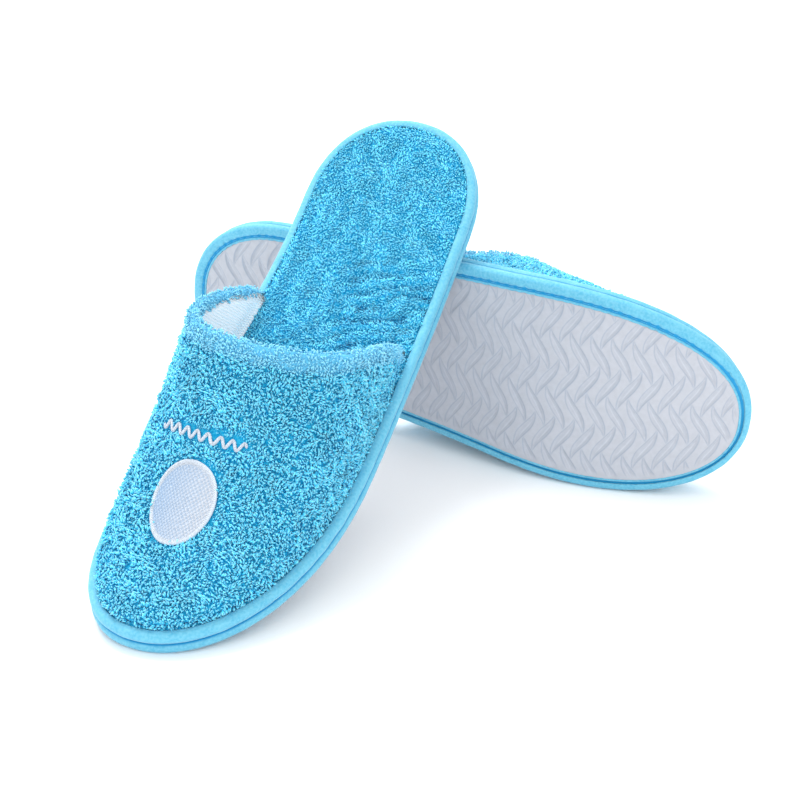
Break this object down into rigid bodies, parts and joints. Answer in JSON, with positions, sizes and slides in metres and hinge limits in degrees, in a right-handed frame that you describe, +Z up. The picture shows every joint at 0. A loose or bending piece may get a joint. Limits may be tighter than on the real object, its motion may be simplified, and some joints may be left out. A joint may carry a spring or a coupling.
{
  "type": "spa slippers",
  "caption": "Pair of closed-toe fleece spa slippers with taped foam soles and wave tread, one leaning on the other.",
  "frame": {"origin": "centre of the pair's box, on the floor it lies on", "axes": "+Z up; the right slipper lies on its side edge with its toe towards +X and its tread towards -Y; the left slipper leans on it with its toe on the floor towards -Y"},
  "size_m": [0.2748, 0.2748, 0.1436],
  "materials": {
    "tread": "satin, embossed waves",
    "foam": "matte foam",
    "tape": "satin woven binding",
    "thread": "sewing thread",
    "board": "matte fibre board",
    "fleece": "short tufted pile",
    "lining": "ribbed knit",
    "embroidery": "satin stitch"
  },
  "bodies": {
    "right_slipper": {"right_tread_sheet": "tread", "right_midsole_foam": "foam", "right_sole_tape": "tape", "right_sole_stitching": "thread", "right_insole_board": "board", "right_insole_fleece": "fleece", "right_upper_tape": "tape", "right_vamp_fleece": "fleece", "right_vamp_foam": "foam", "right_vamp_lining": "lining", "right_embroidered_oval": "embroidery", "right_embroidered_row": "embroidery"},
    "left_slipper": {"left_tread_sheet": "tread", "left_midsole_foam": "foam", "left_sole_tape": "tape", "left_sole_stitching": "thread", "left_insole_board": "board", "left_insole_fleece": "fleece", "left_upper_tape": "tape", "left_vamp_fleece": "fleece", "left_vamp_foam": "foam", "left_vamp_lining": "lining", "left_embroidered_oval": "embroidery", "left_embroidered_row": "embroidery"}
  },
  "joints": [
    {"name": "left_slipper_lift", "type": "slide", "parent": "right_slipper", "child": "left_slipper", "axis": [0, 0, 1], "range_m": [0, 0.2]}
  ]
}
